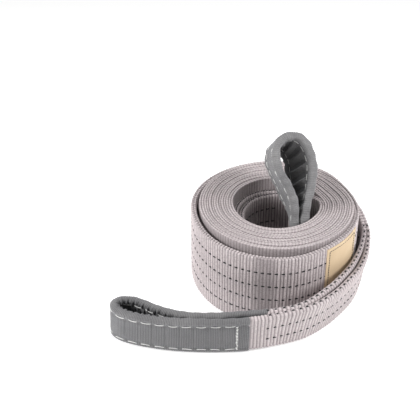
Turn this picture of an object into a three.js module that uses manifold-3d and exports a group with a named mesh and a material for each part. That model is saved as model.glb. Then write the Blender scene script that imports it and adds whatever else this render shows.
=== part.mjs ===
// Flat woven web sling, rolled up: the roll stands on the edge of the web, one eye rises from
// the bore, and the other end sweeps round the front and ends in a flat closed eye on the floor.
// Millimetres, +Z up. The roll's axis is the Z axis until the group is moved at the end.
import * as THREE from "three";
import Module from "manifold-3d";
import { mergeVertices } from "three/addons/utils/BufferGeometryUtils.js";

const wasm = await Module();
wasm.setup();

// Driving sizes of the webbing
const WEB_WIDTH = 120;
const PLY = 3.6;
const PLIES = 2;
const FOLD_WIDTH = 72;
const GAP = 0.3;

// Driving sizes of the roll
const BORE_RADIUS = 63.3;
const TURNS = 7;
const ROLL_RISE = 5;
const TURN_GROOVE_DEPTH = 1.6;
const TURN_GROOVE_HALF_WIDTH = 1.1;
const ROLL_SEGMENTS = 48;

// Driving sizes of the outer turn and of the folded end
const TURN_SLACK = 4;
const TAIL_LEAN = 17;
const TIP_LEAN = 5;
const TIP_SINK = 5;
const SLEEVE_WALL = 1.5;

// Driving sizes of the inner eye
const LEAD_DROP = 19;
const INNER_EYE_LENGTH = 121;
const INNER_EYE_HALF_WIDTH = 19;
const INNER_EYE_SWAY = 7;
const INNER_EYE_LEAN = THREE.MathUtils.degToRad(31);
const INNER_EYE_TURN = THREE.MathUtils.degToRad(23);
const INNER_EYE_SPLAY = THREE.MathUtils.degToRad(12);

const THICKNESS = PLY * PLIES;
const ROLL_RADIUS = BORE_RADIUS + TURNS * THICKNESS;

const WEB_COLOUR = 0xc9bcb8;
const SLEEVE_COLOUR = 0x85878d;
const LABEL_COLOUR = 0xc9b08e;

function cloth(colour, roughness) {
  return new THREE.MeshStandardMaterial({ color: colour, roughness, metalness: 0 });
}

const webbing = cloth(WEB_COLOUR, 0.85);
const sleeving = cloth(SLEEVE_COLOUR, 0.95);
const labelling = cloth(LABEL_COLOUR, 0.7);

const sling = new THREE.Group();
sling.name = "web_sling";

function addMesh(name, geometry, material) {
  const mesh = new THREE.Mesh(geometry, material);
  mesh.name = name;
  sling.add(mesh);
  return mesh;
}

// A closed solid from rings of corners, one ring at each station along a band. Each ring has
// the same number of corners, clockwise as seen looking along the band.
function sweep(rings) {
  const corners = rings[0].length;
  const positions = rings.flat().flatMap((p) => [p.x, p.y, p.z]);
  const index = [];
  for (let i = 0; i < rings.length - 1; i++) {
    const a = i * corners;
    const b = a + corners;
    for (let j = 0; j < corners; j++) {
      const k = (j + 1) % corners;
      index.push(a + j, b + k, a + k);
      index.push(a + j, b + j, b + k);
    }
  }
  const end = (rings.length - 1) * corners;
  for (let j = 1; j < corners - 1; j++) {
    index.push(0, j, j + 1);
    index.push(end, end + j + 1, end + j);
  }
  const geometry = new THREE.BufferGeometry();
  geometry.setAttribute("position", new THREE.Float32BufferAttribute(positions, 3));
  geometry.setIndex(index);
  return geometry;
}

function toSolid(geometry) {
  const merged = mergeVertices(geometry, 1e-3);
  const solid = new wasm.Manifold(
    new wasm.Mesh({
      numProp: 3,
      vertProperties: merged.attributes.position.array,
      triVerts: new Uint32Array(merged.index.array),
    }),
  );
  return solid;
}

function toGeometry(solid) {
  const mesh = solid.getMesh();
  const geometry = new THREE.BufferGeometry();
  geometry.setAttribute("position", new THREE.BufferAttribute(mesh.vertProperties, 3));
  geometry.setIndex(new THREE.BufferAttribute(mesh.triVerts, 1));
  geometry.computeVertexNormals();
  return geometry;
}

// The roll: one turned ring with a groove between each two turns on both ends
function rollGeometry() {
  const bottom = ROLL_RISE;
  const top = ROLL_RISE + WEB_WIDTH;
  const topEdge = [];
  const bottomEdge = [];
  for (let turn = 0; turn < TURNS; turn++) {
    const inner = BORE_RADIUS + turn * THICKNESS;
    const outer = inner + THICKNESS;
    const points = [
      [inner, TURN_GROOVE_DEPTH],
      [inner + TURN_GROOVE_HALF_WIDTH, 0],
      [outer - TURN_GROOVE_HALF_WIDTH, 0],
    ];
    for (const [radius, depth] of points) {
      topEdge.push(new THREE.Vector2(radius, top - depth));
      bottomEdge.push(new THREE.Vector2(radius, bottom + depth));
    }
  }
  topEdge.push(new THREE.Vector2(ROLL_RADIUS, top - TURN_GROOVE_DEPTH));
  bottomEdge.push(new THREE.Vector2(ROLL_RADIUS, bottom + TURN_GROOVE_DEPTH));
  const profile = [...bottomEdge, ...topEdge.reverse(), bottomEdge[0]];
  const geometry = new THREE.LatheGeometry(profile, ROLL_SEGMENTS);
  geometry.rotateX(Math.PI / 2);
  return geometry;
}

addMesh("webbing_roll", rollGeometry(), webbing);

// The outer run: outer turn and folded end as one band, which starts under the folded end at
// the right, runs clockwise once round the roll, leaves it at the right and sweeps to the left.
const tightRadius = ROLL_RADIUS + GAP + THICKNESS;
const TURN_FROM = -6;
const TURN_TO = -350;
const TURN_STEP = -8;
const TURN_LIFT_OFF = 5;

// Radius of the turn's outer face: tight, then slack at the front and left, then tight again
// at the back, and last over the turn's own start
function turnRadius(degrees) {
  const { smoothstep } = THREE.MathUtils;
  const slack = smoothstep(-degrees, 35, 90) - smoothstep(-degrees, 185, 245);
  const climb = smoothstep(-degrees, 285, 340);
  const leaving = smoothstep(-degrees, 335, 370);
  return (
    tightRadius + TURN_SLACK * slack + (THICKNESS + GAP) * climb + 2 * TURN_LIFT_OFF * leaving
  );
}

const turnPath = [];
for (let degrees = TURN_FROM; degrees >= TURN_TO; degrees += TURN_STEP) {
  const angle = THREE.MathUtils.degToRad(degrees);
  const radius = turnRadius(degrees);
  turnPath.push(new THREE.Vector2(radius * Math.cos(angle), radius * Math.sin(angle)));
}

const tailPath = [
  [134.5, -4],
  [131.5, -24],
  [123.5, -53],
  [110, -82],
  [93, -106],
  [70, -132],
  [40, -156],
  [8, -170],
].map(([x, y]) => new THREE.Vector2(x, y));

// Distances back from the throat of the eye, along the run
const FOLD_START = 350;
const FOLD_END = 180;
const LEGS_START = 225;
const LEGS_FULL = 105;

const runCurve = new THREE.SplineCurve([...turnPath, ...tailPath]);
runCurve.arcLengthDivisions = 1000;
const RUN_STEPS = 130;

function runGeometry() {
  const length = runCurve.getLength();
  const rings = [];
  for (let i = 0; i <= RUN_STEPS; i++) {
    const share = i / RUN_STEPS;
    const point = runCurve.getPointAt(share);
    const tangent = runCurve.getTangentAt(share);
    const outward = new THREE.Vector2(-tangent.y, tangent.x);
    const left = length * (1 - share);
    const folded = 1 - THREE.MathUtils.smoothstep(left, FOLD_END, FOLD_START);
    const doubled = 1 - THREE.MathUtils.smoothstep(left, LEGS_FULL, LEGS_START);
    const leaning = 1 - THREE.MathUtils.smoothstep(left, 0, FOLD_START);
    const height = WEB_WIDTH + (FOLD_WIDTH - WEB_WIDTH) * folded;
    const thickness = THICKNESS * (1 + doubled);
    const lean = TAIL_LEAN * leaning;
    const at = (inset, z, shift) =>
      new THREE.Vector3(
        point.x + outward.x * (shift - inset),
        point.y + outward.y * (shift - inset),
        z,
      );
    rings.push([at(0, 0, 0), at(thickness, 0, 0), at(thickness, height, lean), at(0, height, lean)]);
  }
  return sweep(rings);
}

// Centre line of the outer eye's webbing in plan: front leg, tip, back leg
const eyePath = [
  [14, -164],
  [-20, -175],
  [-45, -179.5],
  [-75, -181.6],
  [-111, -181.8],
  [-150, -179],
  [-188, -171.5],
  [-214, -163],
  [-228, -154],
  [-233.5, -143],
  [-228, -134.5],
  [-214, -132.5],
  [-198, -138],
  [-176, -151],
  [-155, -160.5],
  [-137, -166],
  [-117, -169.5],
  [-88, -170.4],
  [-64, -169],
  [-41, -166.8],
  [-17, -164],
  [18, -154],
].map(([x, y]) => new THREE.Vector2(x, y));

const eyeCurve = new THREE.SplineCurve(eyePath);
const EYE_STEPS = 72;
const EYE_BASE = SLEEVE_WALL + GAP;

// Height of the webbing's top edge: the eye sinks a little towards its tip
function eyeTop(share) {
  const tip = 1 - Math.abs(2 * share - 1);
  return FOLD_WIDTH - TIP_SINK * THREE.MathUtils.smoothstep(tip, 0.2, 1);
}

function eyeRing(share, halfThickness, bottom, top) {
  const point = eyeCurve.getPointAt(share);
  const tangent = eyeCurve.getTangentAt(share);
  const outward = new THREE.Vector2(-tangent.y, tangent.x);
  const tip = 1 - Math.abs(2 * share - 1);
  const along = TIP_LEAN * THREE.MathUtils.smoothstep(tip, 0.4, 1);
  const at = (offset, z) =>
    new THREE.Vector3(
      point.x + outward.x * offset + along * (z / FOLD_WIDTH),
      point.y + outward.y * offset - TAIL_LEAN * (z / FOLD_WIDTH),
      z,
    );
  return [
    at(halfThickness, bottom),
    at(-halfThickness, bottom),
    at(-halfThickness, top),
    at(halfThickness, top),
  ];
}

function outerEyeGeometry() {
  const rings = [];
  for (let i = 0; i <= EYE_STEPS; i++) {
    const share = i / EYE_STEPS;
    const base = EYE_BASE * THREE.MathUtils.smoothstep(Math.min(share, 1 - share), 0.03, 0.06);
    rings.push(eyeRing(share, THICKNESS / 2, base, eyeTop(share)));
  }
  return sweep(rings);
}

const outerRun = toSolid(runGeometry()).add(toSolid(outerEyeGeometry()));
addMesh("webbing_outer_run", toGeometry(outerRun), webbing);

// A sleeve: a tube round a webbing leg, open at both ends
function tube(outerRings, innerRings) {
  return toSolid(sweep(outerRings)).subtract(toSolid(sweep(innerRings)));
}

// Stations of the eye's path where its sleeve begins and ends
const SLEEVE_FROM = 8;
const SLEEVE_TO = 67;

function outerSleeve() {
  const outerRings = [];
  const innerRings = [];
  const halfInner = THICKNESS / 2 + GAP;
  for (let i = SLEEVE_FROM - 1; i <= SLEEVE_TO + 1; i++) {
    const share = i / EYE_STEPS;
    innerRings.push(eyeRing(share, halfInner, SLEEVE_WALL, eyeTop(share) + GAP));
    if (i >= SLEEVE_FROM && i <= SLEEVE_TO) {
      outerRings.push(eyeRing(share, halfInner + SLEEVE_WALL, 0, eyeTop(share) + EYE_BASE));
    }
  }
  return tube(outerRings, innerRings);
}

addMesh("outer_eye_sleeve", toGeometry(outerSleeve()), sleeving);

// The lead: the folded webbing that goes round the bore's wall and across to the inner eye
const LEAD_TOP = ROLL_RISE + WEB_WIDTH - LEAD_DROP;
const LEAD_BOTTOM = LEAD_TOP - FOLD_WIDTH;
const leadRadius = BORE_RADIUS - 2 * GAP - THICKNESS;
const EYE_FOOT = new THREE.Vector3(30, -9.5, ROLL_RISE + WEB_WIDTH - 13);

const LEAD_FROM = 28;
const LEAD_TO = 200;
const LEAD_STEP = 9;

const leadPath = [];
for (let degrees = LEAD_FROM; degrees <= LEAD_TO; degrees += LEAD_STEP) {
  const angle = THREE.MathUtils.degToRad(degrees);
  leadPath.push(new THREE.Vector2(leadRadius * Math.cos(angle), leadRadius * Math.sin(angle)));
}
leadPath.push(new THREE.Vector2(-42, -33));
leadPath.push(new THREE.Vector2(-27, -38));
leadPath.push(new THREE.Vector2(-4, -31));
leadPath.push(new THREE.Vector2(EYE_FOOT.x - 6, EYE_FOOT.y - 6));

function leadGeometry() {
  const curve = new THREE.SplineCurve(leadPath);
  const steps = 70;
  const rings = [];
  for (let i = 0; i <= steps; i++) {
    const point = curve.getPointAt(i / steps);
    const tangent = curve.getTangentAt(i / steps);
    const side = new THREE.Vector2(-tangent.y, tangent.x);
    const at = (offset, z) =>
      new THREE.Vector3(point.x + side.x * offset, point.y + side.y * offset, z);
    rings.push([
      at(THICKNESS, LEAD_BOTTOM),
      at(-THICKNESS, LEAD_BOTTOM),
      at(-THICKNESS, LEAD_TOP),
      at(THICKNESS, LEAD_TOP),
    ]);
  }
  return sweep(rings);
}

// The inner eye in its own plane: x across the eye, y up its axis from the foot
const innerEyePath = [
  [-5.8, LEAD_BOTTOM - EYE_FOOT.z],
  [-5.8, -45],
  [-5.8, -15],
  [-9, 16],
  [-15, 45],
  [-INNER_EYE_HALF_WIDTH - 2, 74],
  [-INNER_EYE_HALF_WIDTH, INNER_EYE_LENGTH - 25],
  [-12, INNER_EYE_LENGTH - 10],
  [0, INNER_EYE_LENGTH - 5.4],
  [12, INNER_EYE_LENGTH - 10],
  [INNER_EYE_HALF_WIDTH, INNER_EYE_LENGTH - 25],
  [INNER_EYE_HALF_WIDTH + 2, 74],
  [15, 45],
  [9, 16],
  [5.8, -15],
  [5.8, -45],
  [5.8, LEAD_BOTTOM - EYE_FOOT.z],
].map(([x, y]) => new THREE.Vector2(x, y));

const innerEyeCurve = new THREE.SplineCurve(innerEyePath);
const INNER_EYE_STEPS = 60;

// Directions at a height above the foot: the eye stands upright in the bore, leans back above
// the roll, and its two legs are turned apart a little round its axis
function innerEyeFrame(height, side) {
  const { smoothstep } = THREE.MathUtils;
  const lean = INNER_EYE_LEAN * smoothstep(height, -30, 25);
  const splay = INNER_EYE_SPLAY * side * smoothstep(height, 0, 60);
  const turn = INNER_EYE_TURN * smoothstep(height, -20, 60);
  const across = new THREE.Vector3(Math.cos(turn), Math.sin(turn), 0);
  const back = new THREE.Vector3(-Math.sin(turn), Math.cos(turn), 0);
  const up = new THREE.Vector3(0, 0, 1).multiplyScalar(Math.cos(lean));
  up.addScaledVector(back, Math.sin(lean));
  const width = back.clone().multiplyScalar(Math.cos(lean));
  width.z = -Math.sin(lean);
  return {
    across: across.clone().applyAxisAngle(up, splay),
    up,
    width: width.applyAxisAngle(up, splay),
    plain: across,
  };
}

// Axis of the eye, bent back above the roll
function innerEyeAxis(height) {
  const steps = 40;
  const place = EYE_FOOT.clone();
  for (let i = 0; i < steps; i++) {
    const { up } = innerEyeFrame((height * (i + 0.5)) / steps, 0);
    place.addScaledVector(up, height / steps);
  }
  return place;
}

function innerEyeRing(share, halfThickness, halfWidth) {
  const point = innerEyeCurve.getPointAt(share);
  const tangent = innerEyeCurve.getTangentAt(share);
  const side = THREE.MathUtils.clamp(point.x / INNER_EYE_HALF_WIDTH, -1, 1);
  const { across, up, width, plain } = innerEyeFrame(point.y, side);
  const sway = INNER_EYE_SWAY * THREE.MathUtils.smoothstep(point.y, -10, INNER_EYE_LENGTH);
  const centre = innerEyeAxis(point.y).addScaledVector(plain, point.x - sway);
  const normal = across.clone().multiplyScalar(-tangent.y).addScaledVector(up, tangent.x);
  const at = (offset, edge) =>
    centre.clone().addScaledVector(normal, offset).addScaledVector(width, edge);
  return [
    at(halfThickness, -halfWidth),
    at(halfThickness, halfWidth),
    at(-halfThickness, halfWidth),
    at(-halfThickness, -halfWidth),
  ];
}

function innerEyeGeometry() {
  const rings = [];
  for (let i = 0; i <= INNER_EYE_STEPS; i++) {
    const halfWidth = FOLD_WIDTH / 2 - SLEEVE_WALL - GAP;
    rings.push(innerEyeRing(i / INNER_EYE_STEPS, THICKNESS / 2, halfWidth));
  }
  return sweep(rings);
}

const innerRun = toSolid(leadGeometry()).add(toSolid(innerEyeGeometry()));
addMesh("webbing_inner_run", toGeometry(innerRun), webbing);

const INNER_SLEEVE_FROM = 11;

function innerSleeve() {
  const outerRings = [];
  const innerRings = [];
  const halfInner = THICKNESS / 2 + GAP;
  const last = INNER_EYE_STEPS - INNER_SLEEVE_FROM;
  for (let i = INNER_SLEEVE_FROM - 1; i <= last + 1; i++) {
    const share = i / INNER_EYE_STEPS;
    innerRings.push(innerEyeRing(share, halfInner, FOLD_WIDTH / 2 - SLEEVE_WALL));
    if (i >= INNER_SLEEVE_FROM && i <= last) {
      outerRings.push(innerEyeRing(share, halfInner + SLEEVE_WALL, FOLD_WIDTH / 2));
    }
  }
  return tube(outerRings, innerRings);
}

addMesh("inner_eye_sleeve", toGeometry(innerSleeve()), sleeving);

// The label, sewn to the outer turn at the right front
const LABEL_FROM = THREE.MathUtils.degToRad(-58);
const LABEL_TO = THREE.MathUtils.degToRad(-24);
const LABEL_THICKNESS = 0.8;
const LABEL_BOTTOM = 27;
const LABEL_TOP = 116;

function labelGeometry() {
  const rings = [];
  for (let i = 0; i < RUN_STEPS / 2; i++) {
    const point = runCurve.getPointAt(i / RUN_STEPS);
    const angle = Math.atan2(point.y, point.x);
    if (angle > LABEL_FROM && angle < LABEL_TO) {
      const tangent = runCurve.getTangentAt(i / RUN_STEPS);
      const outward = new THREE.Vector2(-tangent.y, tangent.x);
      const at = (offset, z) =>
        new THREE.Vector3(point.x + outward.x * offset, point.y + outward.y * offset, z);
      const outer = GAP + LABEL_THICKNESS;
      rings.push([
        at(outer, LABEL_BOTTOM),
        at(GAP, LABEL_BOTTOM),
        at(GAP, LABEL_TOP),
        at(outer, LABEL_TOP),
      ]);
    }
  }
  return sweep(rings);
}

addMesh("label", labelGeometry(), labelling);

// The part's origin is the centre of its box, on the floor
const box = new THREE.Box3().setFromObject(sling, true);
const middle = box.getCenter(new THREE.Vector3());
sling.position.set(-middle.x, -middle.y, -box.min.z);

export default sling;
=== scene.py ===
import math

import bpy
import mathutils
import numpy as np
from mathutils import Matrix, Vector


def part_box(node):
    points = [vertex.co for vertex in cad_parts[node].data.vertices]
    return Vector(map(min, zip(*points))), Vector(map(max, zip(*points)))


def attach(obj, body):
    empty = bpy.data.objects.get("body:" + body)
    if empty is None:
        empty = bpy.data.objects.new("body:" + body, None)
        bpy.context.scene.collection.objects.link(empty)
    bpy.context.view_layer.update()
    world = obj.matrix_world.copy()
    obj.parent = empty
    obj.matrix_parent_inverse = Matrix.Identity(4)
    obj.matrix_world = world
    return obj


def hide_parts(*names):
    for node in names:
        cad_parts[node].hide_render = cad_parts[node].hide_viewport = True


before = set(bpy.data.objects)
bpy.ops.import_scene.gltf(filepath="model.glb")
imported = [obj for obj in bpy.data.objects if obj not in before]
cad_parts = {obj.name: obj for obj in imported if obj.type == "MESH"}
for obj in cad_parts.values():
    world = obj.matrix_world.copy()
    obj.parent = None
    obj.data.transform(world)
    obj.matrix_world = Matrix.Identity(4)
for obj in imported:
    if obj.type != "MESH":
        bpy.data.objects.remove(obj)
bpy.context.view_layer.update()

MM = 0.001

# Sizes of the webbing, in mm, as in the solids of the frame
WEB_WIDTH = 120
PLY = 3.6
THICKNESS = 2 * PLY
FOLD_WIDTH = 72
GAP = 0.3
PLY_CLEARANCE = 0.12
BORE_RADIUS = 63.3
TURNS = 7
ROLL_RISE = 5
ROLL_RADIUS = BORE_RADIUS + TURNS * THICKNESS
SLEEVE_WALL = 1.5

# The roll's axis in the frame: the lowest and highest corners of the turned roll give it
roll_low, roll_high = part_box("webbing_roll")
AXIS = np.array([
    (roll_low[0] + roll_high[0]) / 2,
    (roll_low[1] + roll_high[1]) / 2,
    0,
])

# The weave: cross ribs, and black marker yarns at a dash in every second rib
RIB_PITCH = 4.75
RIB_DEPTH = 1.0
STEPS_PER_RIB = 4
MARKER_GAP = WEB_WIDTH / 5
DASH_PITCH = 2 * RIB_PITCH
DASH_LENGTH = 5.0
DASH_WIDTH = 2.2

rng = np.random.default_rng(7)


def smoothstep(x, low, high):
    t = np.clip((np.asarray(x, float) - low) / (high - low), 0, 1)
    return t * t * (3 - 2 * t)


def unit(v):
    return v / np.linalg.norm(v, axis=-1, keepdims=True)


def polar(degrees, radius):
    angle = np.radians(degrees)
    return np.stack([radius * np.cos(angle), radius * np.sin(angle)], axis=-1)


def spline(points, density=16):
    """A smooth line of many numbers through control points, as the CAD's curves run."""
    p = np.asarray(points, float)
    p = np.vstack([p[:1], p, p[-1:]])
    t = (np.arange(density) / density)[:, None]
    out = []
    for p0, p1, p2, p3 in zip(p, p[1:], p[2:], p[3:]):
        v0, v1 = (p2 - p0) / 2, (p3 - p1) / 2
        out.append((2 * p1 - 2 * p2 + v0 + v1) * t**3
                   + (-3 * p1 + 3 * p2 - 2 * v0 - v1) * t**2 + v0 * t + p1)
    out.append(p[-1:])
    return np.vstack(out)


# Bands

# Rows of points on a strap's face, as shares of its height, and points round each corner
ROWS = (0.0, 0.25, 0.5, 0.65, 0.8, 0.92, 1.0)
CORNER = 3


class Band:
    """A strap as lines of numbers along its length: centre, normal, width direction, half
    thickness, low and high edge, edge rounding and depth of its ribs."""

    def __init__(self, centre, normal, width, half, low, high, rounding, ribs):
        n = len(centre)
        self.centre, self.normal, self.width = centre, normal, width
        self.half = np.broadcast_to(np.asarray(half, float), (n,))
        self.low = np.broadcast_to(np.asarray(low, float), (n,))
        self.high = np.broadcast_to(np.asarray(high, float), (n,))
        self.rounding = np.minimum(np.broadcast_to(np.asarray(rounding, float), (n,)), self.half)
        self.ribs = np.broadcast_to(np.asarray(ribs, float), (n,))
        steps = np.linalg.norm(np.diff(centre, axis=0), axis=1)
        self.along = np.concatenate([[0], np.cumsum(steps)])
        self.length = self.along[-1]

    def read(self, field, s):
        values = getattr(self, field)
        if values.ndim == 1:
            return np.interp(s, self.along, values)
        return np.stack([np.interp(s, self.along, values[:, k]) for k in range(3)], axis=-1)

    def place(self, s, a, b):
        """Points at distance s along, a out along the normal and b across the width."""
        s, a, b = np.broadcast_arrays(s, a, b)
        return (self.read("centre", s) + self.read("normal", s) * a[..., None]
                + self.read("width", s) * b[..., None])

    def outline(self, s, rows, corner, shrink=0.0):
        """a, b and the outward direction of the section's outline at each station: up the outer
        face, over the top, down the inner face and under. rows are shares of the face's height."""
        half = self.read("half", s)[:, None] - shrink
        low = self.read("low", s)[:, None] + shrink
        high = self.read("high", s)[:, None] - shrink
        r = np.minimum(self.read("rounding", s)[:, None], half)
        rows = np.asarray(rows)[None, :]
        turn = (np.radians((np.arange(corner) + 0.5) * 90 / corner))[None, :]
        one = np.ones_like(half)
        a, b, na, nb = [], [], [], []

        def add(ca, cb, angle):
            a.append(ca + r * np.cos(angle))
            b.append(cb + r * np.sin(angle))
            na.append(one * np.cos(angle))
            nb.append(one * np.sin(angle))

        face = low + r + (high - low - 2 * r) * rows
        add(half - r, face, np.zeros_like(rows))
        add(half - r, high - r, turn)
        add(r - half, high - r, turn + np.pi / 2)
        add(r - half, face[:, ::-1], np.full_like(rows, np.pi))
        add(r - half, low + r, turn + np.pi)
        add(half - r, low + r, turn + 1.5 * np.pi)
        return tuple(np.concatenate(x, axis=1) for x in (a, b, na, nb))


def rib(s):
    """Height of the cross ribs, from -0.5 to 0.5: broad ridges, narrow grooves, and every second
    rib a little lower."""
    phase = np.asarray(s) / RIB_PITCH
    wave = np.cos(2 * np.pi * phase)
    return 0.5 * wave + 0.12 * np.cos(np.pi * phase)


def loft(name, rings, along, shade=None):
    """A closed bar from rings of points, one ring at each station along it. Its UV is in metres:
    along the strap and round its section. shade is a number kept at each point for the
    material."""
    n, m, _ = rings.shape
    points = rings.reshape(-1, 3) * MM + AXIS
    i = np.arange(n - 1)[:, None]
    j = np.arange(m)[None, :]
    j2 = (j + 1) % m
    quads = np.stack([i * m + j, i * m + j2, (i + 1) * m + j2, (i + 1) * m + j], axis=-1)
    middle = rings[n // 2]
    round_ = np.concatenate(
        [[0], np.cumsum(np.linalg.norm(np.roll(middle, -1, axis=0) - middle, axis=1))])
    u1 = np.broadcast_to(along[:-1, None], (n - 1, m))
    u2 = np.broadcast_to(along[1:, None], (n - 1, m))
    v1 = np.broadcast_to(round_[None, :m], (n - 1, m))
    v2 = np.broadcast_to(round_[None, 1:], (n - 1, m))
    uv = np.stack([np.stack([u1, v1], -1), np.stack([u1, v2], -1),
                   np.stack([u2, v2], -1), np.stack([u2, v1], -1)], axis=2).reshape(-1, 2) * MM
    faces = quads.reshape(-1, 4).tolist()
    faces.append(list(range(m)))
    faces.append([(n - 1) * m + k for k in range(m)][::-1])
    loops = np.vstack([uv, np.zeros((2 * m, 2))])
    return make_mesh(name, points, faces, loops, shade)


def signed_volume(points, faces):
    total = 0.0
    quads = np.array([f for f in faces if len(f) == 4])
    for a, b, c in ((0, 1, 2), (0, 2, 3)):
        p, q, r = points[quads[:, a]], points[quads[:, b]], points[quads[:, c]]
        total += np.einsum("ij,ij->i", p, np.cross(q, r)).sum()
    return total


def make_mesh(name, points, faces, uv=None, shade=None):
    mesh = bpy.data.meshes.new(name)
    mesh.from_pydata(points.tolist(), [], faces)
    if uv is not None:
        layer = mesh.uv_layers.new(name="UVMap")
        layer.data.foreach_set("uv", uv.ravel().astype(np.float32))
    if shade is not None:
        attribute = mesh.attributes.new("shade", "FLOAT", "POINT")
        attribute.data.foreach_set("value", np.asarray(shade, np.float32).ravel())
    centre = points.mean(axis=0)
    if signed_volume(points - centre, faces) < 0:
        mesh.flip_normals()
    mesh.shade_smooth()
    mesh.update()
    obj = bpy.data.objects.new(name, mesh)
    bpy.context.scene.collection.objects.link(obj)
    return obj


def join(name, parts):
    """Several meshes as one piece."""
    bpy.ops.object.select_all(action="DESELECT")
    for part in parts:
        part.select_set(True)
    bpy.context.view_layer.objects.active = parts[0]
    bpy.ops.object.join()
    parts[0].name = name
    parts[0].data.name = name
    return parts[0]


def dress(obj, material, slot, *nodes):
    obj.data.materials.clear()
    obj.data.materials.append(material)
    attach(obj, "root")
    if nodes:
        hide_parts(*nodes)
    return obj


# Materials

class Nodes:
    """Short calls for building a material's nodes."""

    def __init__(self, name, roughness, sheen, sheen_tint):
        self.material = bpy.data.materials.new(name)
        self.material.use_nodes = True
        self.tree = self.material.node_tree
        self.shader = self.tree.nodes["Principled BSDF"]
        self.shader.inputs["Roughness"].default_value = roughness
        self.shader.inputs["Sheen Weight"].default_value = sheen
        self.shader.inputs["Sheen Roughness"].default_value = 0.5
        self.shader.inputs["Sheen Tint"].default_value = (*sheen_tint, 1)
        self.shader.inputs["Specular IOR Level"].default_value = 0.3

    def add(self, kind, **settings):
        node = self.tree.nodes.new(kind)
        for key, value in settings.items():
            setattr(node, key, value)
        return node

    def link(self, source, target):
        self.tree.links.new(source, target)

    def math(self, operation, first, second=None, clamp=False):
        node = self.add("ShaderNodeMath", operation=operation, use_clamp=clamp)
        for socket, value in zip(node.inputs, (first, second)):
            if value is None:
                continue
            if isinstance(value, (int, float)):
                socket.default_value = value
            else:
                self.link(value, socket)
        return node.outputs[0]

    def mix(self, factor, first, second):
        node = self.add("ShaderNodeMix", data_type="RGBA")
        for socket, value in ((node.inputs[0], factor), (node.inputs[6], first),
                              (node.inputs[7], second)):
            if isinstance(value, tuple):
                socket.default_value = (*value, 1)
            else:
                self.link(value, socket)
        return node.outputs[2]

    def noise(self, scale, detail):
        node = self.add("ShaderNodeTexNoise")
        node.inputs["Scale"].default_value = scale
        node.inputs["Detail"].default_value = detail
        self.link(self.add("ShaderNodeTexCoord").outputs["Object"], node.inputs["Vector"])
        return node.outputs["Fac"]

    def uv(self):
        split = self.add("ShaderNodeSeparateXYZ")
        self.link(self.add("ShaderNodeTexCoord").outputs["UV"], split.inputs[0])
        return split.outputs[0], split.outputs[1]

    def wave(self, *terms):
        """A sine of the sum of coordinates, each over its own period in metres."""
        total = None
        for coordinate, period in terms:
            part = self.math("MULTIPLY", coordinate, 2 * math.pi / period)
            total = part if total is None else self.math("ADD", total, part)
        return self.math("SINE", total)

    def bump(self, height, distance, strength):
        node = self.add("ShaderNodeBump")
        node.inputs["Strength"].default_value = strength
        node.inputs["Distance"].default_value = distance
        self.link(height, node.inputs["Height"])
        self.link(node.outputs[0], self.shader.inputs["Normal"])

    def colour(self, source):
        self.link(source, self.shader.inputs["Base Color"])

    def attribute(self, name):
        node = self.add("ShaderNodeAttribute", attribute_name=name)
        return node.outputs["Fac"]


def webbing_material():
    k = Nodes("webbing_weave", 0.82, 0.35, (0.9, 0.86, 0.84))
    _, v = k.uv()
    yarns = k.wave((v, 0.00125))
    mottle = k.noise(420, 2)
    fine = k.noise(1600, 3)
    large = k.noise(26, 4)
    height = k.math("ADD", k.math("MULTIPLY", yarns, 0.25), k.math("MULTIPLY", mottle, 0.5))
    height = k.math("ADD", height, k.math("MULTIPLY", fine, 0.7))
    k.bump(height, 0.0004, 0.9)
    light, dark = (0.64, 0.572, 0.578), (0.22, 0.188, 0.192)
    worn, painted_shade_tone = (0.48, 0.424, 0.432), (0.13, 0.107, 0.111)
    tone = k.mix(k.math("MULTIPLY", large, 0.75), light, worn)
    speck = k.math("MULTIPLY", k.math("GREATER_THAN", mottle, 0.56), fine)
    tone = k.mix(k.math("MULTIPLY", speck, 0.7), tone, dark)
    # Painted shade: the shade attribute darkens the tone in rib grooves, between the roll's plies
    # and low in the bore, and also darkens the splice band.
    tone = k.mix(k.math("MULTIPLY", k.attribute("shade"), 1.25, clamp=True), tone, painted_shade_tone)
    k.colour(tone)
    return k.material


def sleeve_material():
    k = Nodes("sleeve_weave", 0.86, 0.3, (0.8, 0.82, 0.86))
    u, v = k.uv()
    yarns = k.wave((v, 0.0011))
    twill = k.wave((u, 0.0015), (v, 0.0017))
    fine = k.noise(1900, 3)
    large = k.noise(34, 4)
    height = k.math("ADD", k.math("MULTIPLY", yarns, 0.3), k.math("MULTIPLY", twill, 0.25))
    height = k.math("ADD", height, k.math("MULTIPLY", fine, 0.7))
    k.bump(height, 0.0002, 0.8)
    tone = k.mix(large, (0.105, 0.103, 0.108), (0.225, 0.22, 0.22))
    speck = k.math("MULTIPLY", k.math("GREATER_THAN", yarns, 0.55), k.noise(500, 2))
    tone = k.mix(k.math("MULTIPLY", speck, 0.55), tone, (0.5, 0.5, 0.5))
    # The shade attribute darkens the cloth towards near black: painted shade in its grooves, dents,
    # the eye's opening and its inside, and a darker middle band on the face.
    tone = k.mix(k.math("MULTIPLY", k.attribute("shade"), 0.85, clamp=True), tone,
                 (0.045, 0.045, 0.05))
    k.colour(tone)
    return k.material


def yarn_material(name, colour, second, sheen):
    k = Nodes(name, 0.75, sheen, (0.8, 0.8, 0.8))
    fine = k.noise(2500, 2)
    k.bump(fine, 0.0001, 0.7)
    k.colour(k.mix(fine, colour, second))
    return k.material


def label_material():
    k = Nodes("label_cloth", 0.72, 0.15, (0.9, 0.85, 0.75))
    fine = k.noise(2200, 3)
    large = k.noise(40, 3)
    u, v = k.uv()
    grid = k.math("ADD", k.wave((u, 0.0009)), k.wave((v, 0.0009)))
    k.bump(k.math("ADD", k.math("MULTIPLY", grid, 0.2), fine), 0.0001, 0.6)
    tone = k.mix(large, (0.62, 0.47, 0.30), (0.50, 0.36, 0.22))
    k.colour(k.mix(k.math("MULTIPLY", fine, 0.4), tone, (0.72, 0.60, 0.42)))
    return k.material


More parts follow.
